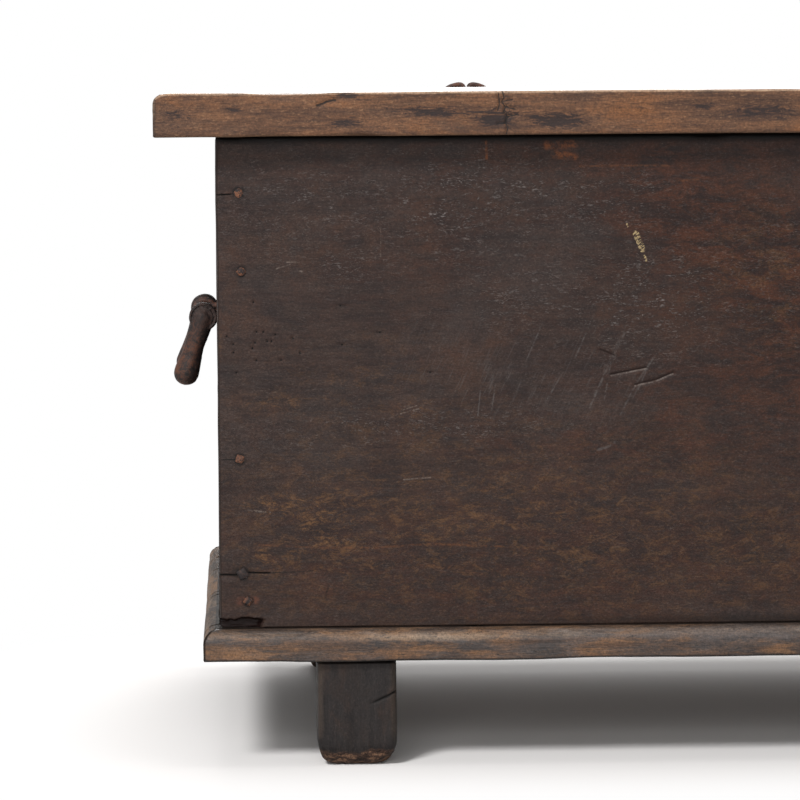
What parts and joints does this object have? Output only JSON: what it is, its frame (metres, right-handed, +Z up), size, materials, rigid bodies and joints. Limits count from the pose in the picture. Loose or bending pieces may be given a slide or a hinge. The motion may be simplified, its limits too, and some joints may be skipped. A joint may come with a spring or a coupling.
{
  "type": "six-plank chest",
  "caption": "Low nailed-plank storage chest with an overhanging lid on loop hinges, a mitred base moulding, worn square feet and forged iron bail handles.",
  "frame": {"origin": "on the floor under the middle of the chest", "axes": "+Z up, +X along the length to the right as seen from the front, front at -Y"},
  "size_m": [1.09, 0.527, 0.5045],
  "materials": {
    "dark_wood": "very dark aged wood with worn waxed surface",
    "lid_wood": "mid-brown waxed wood, worn",
    "inner_wood": "bare aged wood",
    "rail_wood": "brown and grey weathered wood, worn on the rounded edge",
    "foot_wood": "grey-black aged wood, worn brown at the bottom",
    "rusted_iron": "forged iron, rusted and handled smooth",
    "nail_iron": "forged iron, rusted"
  },
  "bodies": {
    "chest": {"front_plank": "dark_wood", "back_plank": "dark_wood", "left_end_plank": "dark_wood", "right_end_plank": "dark_wood", "bottom_plank": "inner_wood", "base_rail_front": "rail_wood", "base_rail_back": "rail_wood", "base_rail_left": "rail_wood", "base_rail_right": "rail_wood", "foot_front_left": "foot_wood", "foot_front_right": "foot_wood", "foot_back_left": "foot_wood", "foot_back_right": "foot_wood", "hinge_left_back_cotter": "rusted_iron", "hinge_right_back_cotter": "rusted_iron", "handle_left_front_eyebolt": "rusted_iron", "handle_left_back_eyebolt": "rusted_iron", "handle_right_front_eyebolt": "rusted_iron", "handle_right_back_eyebolt": "rusted_iron", "front_nails": "nail_iron", "back_nails": "nail_iron", "rail_nails": "nail_iron", "bottom_nails": "nail_iron"},
    "lid": {"lid_plank": "lid_wood", "lid_batten_left": "inner_wood", "lid_batten_right": "inner_wood", "batten_nails": "nail_iron", "hinge_left_lid_cotter": "rusted_iron", "hinge_right_lid_cotter": "rusted_iron"},
    "handle_left": {"handle_left_bail": "rusted_iron"},
    "handle_right": {"handle_right_bail": "rusted_iron"}
  },
  "joints": [
    {"name": "lid_hinge", "type": "hinge", "parent": "chest", "child": "lid", "pos_m": [0, 0.2465, 0.45275], "axis": [-1, 0, 0], "range_deg": [0, 110]},
    {"name": "handle_left_swing", "type": "hinge", "parent": "chest", "child": "handle_left", "pos_m": [-0.512, 0, 0.3235], "axis": [0, 1, 0], "range_deg": [-17, 150]},
    {"name": "handle_right_swing", "type": "hinge", "parent": "chest", "child": "handle_right", "pos_m": [0.512, 0, 0.3235], "axis": [0, -1, 0], "range_deg": [-17, 150]}
  ]
}
